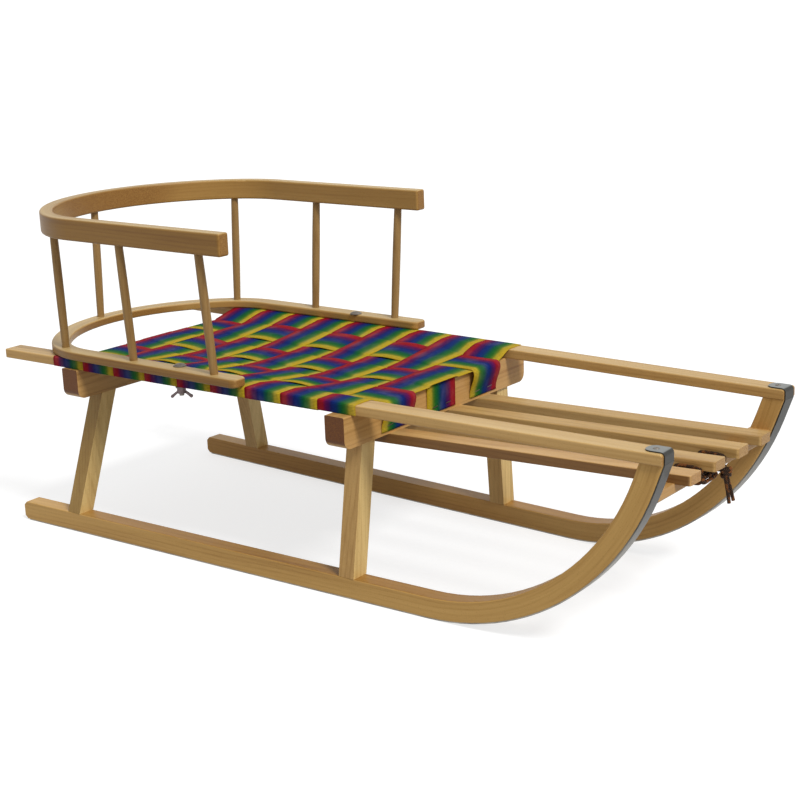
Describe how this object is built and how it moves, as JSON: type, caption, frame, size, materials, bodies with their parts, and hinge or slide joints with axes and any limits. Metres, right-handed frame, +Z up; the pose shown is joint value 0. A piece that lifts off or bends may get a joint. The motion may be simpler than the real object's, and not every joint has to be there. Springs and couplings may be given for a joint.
{
  "type": "child's wooden sled with backrest",
  "caption": "Wooden sled with steel-shod bent runners, splayed legs, a woven webbing seat, a slatted footrest and a bent-wood backrest on spindles.",
  "frame": {"origin": "on the floor, under the middle of the sled's box, the cord left out", "axes": "+X forward to the upswept tips, +Y to the sled's left, +Z up"},
  "size_m": [0.9722, 0.3978, 0.421],
  "materials": {
    "beech": "pale lacquered beech, long fine grain",
    "beech_backrest": "lacquered beech, bent and turned",
    "shoe_steel": "rolled strip, dull",
    "zinc_steel": "bright zinc plating",
    "webbing": "ribbed polypropylene webbing, rainbow stripes along the strap",
    "cord": "braided cord, dark with an orange fleck"
  },
  "bodies": {
    "root": {"runner_right": "beech", "runner_left": "beech", "runner_shoe_right": "shoe_steel", "runner_shoe_left": "shoe_steel", "side_rail_right": "beech", "side_rail_left": "beech", "rear_bolster": "beech", "front_bolster": "beech", "leg_rear_right": "beech", "leg_rear_left": "beech", "leg_front_right": "beech", "leg_front_left": "beech", "crossbar": "beech", "slat_1": "beech", "slat_2": "beech", "slat_3": "beech", "slat_4": "beech", "backrest_base_bow": "beech_backrest", "backrest_top_bow": "beech_backrest", "spindle_1": "beech_backrest", "spindle_2": "beech_backrest", "spindle_3": "beech_backrest", "spindle_4": "beech_backrest", "spindle_5": "beech_backrest", "spindle_6": "beech_backrest", "spindle_7": "beech_backrest", "cross_strap_1": "webbing", "cross_strap_2": "webbing", "cross_strap_3": "webbing", "cross_strap_4": "webbing", "cross_strap_5": "webbing", "cross_strap_6": "webbing", "cross_strap_7": "webbing", "cross_strap_8": "webbing", "cross_strap_9": "webbing", "long_strap_1": "webbing", "long_strap_2": "webbing", "long_strap_3": "webbing", "bolt_right": "zinc_steel", "bolt_left": "zinc_steel", "wing_nut_right": "zinc_steel", "wing_nut_left": "zinc_steel", "tow_cord_windings": "cord", "tow_cord_knot": "cord", "tow_cord_tail_1": "cord", "tow_cord_tail_2": "cord"}
  },
  "joints": []
}
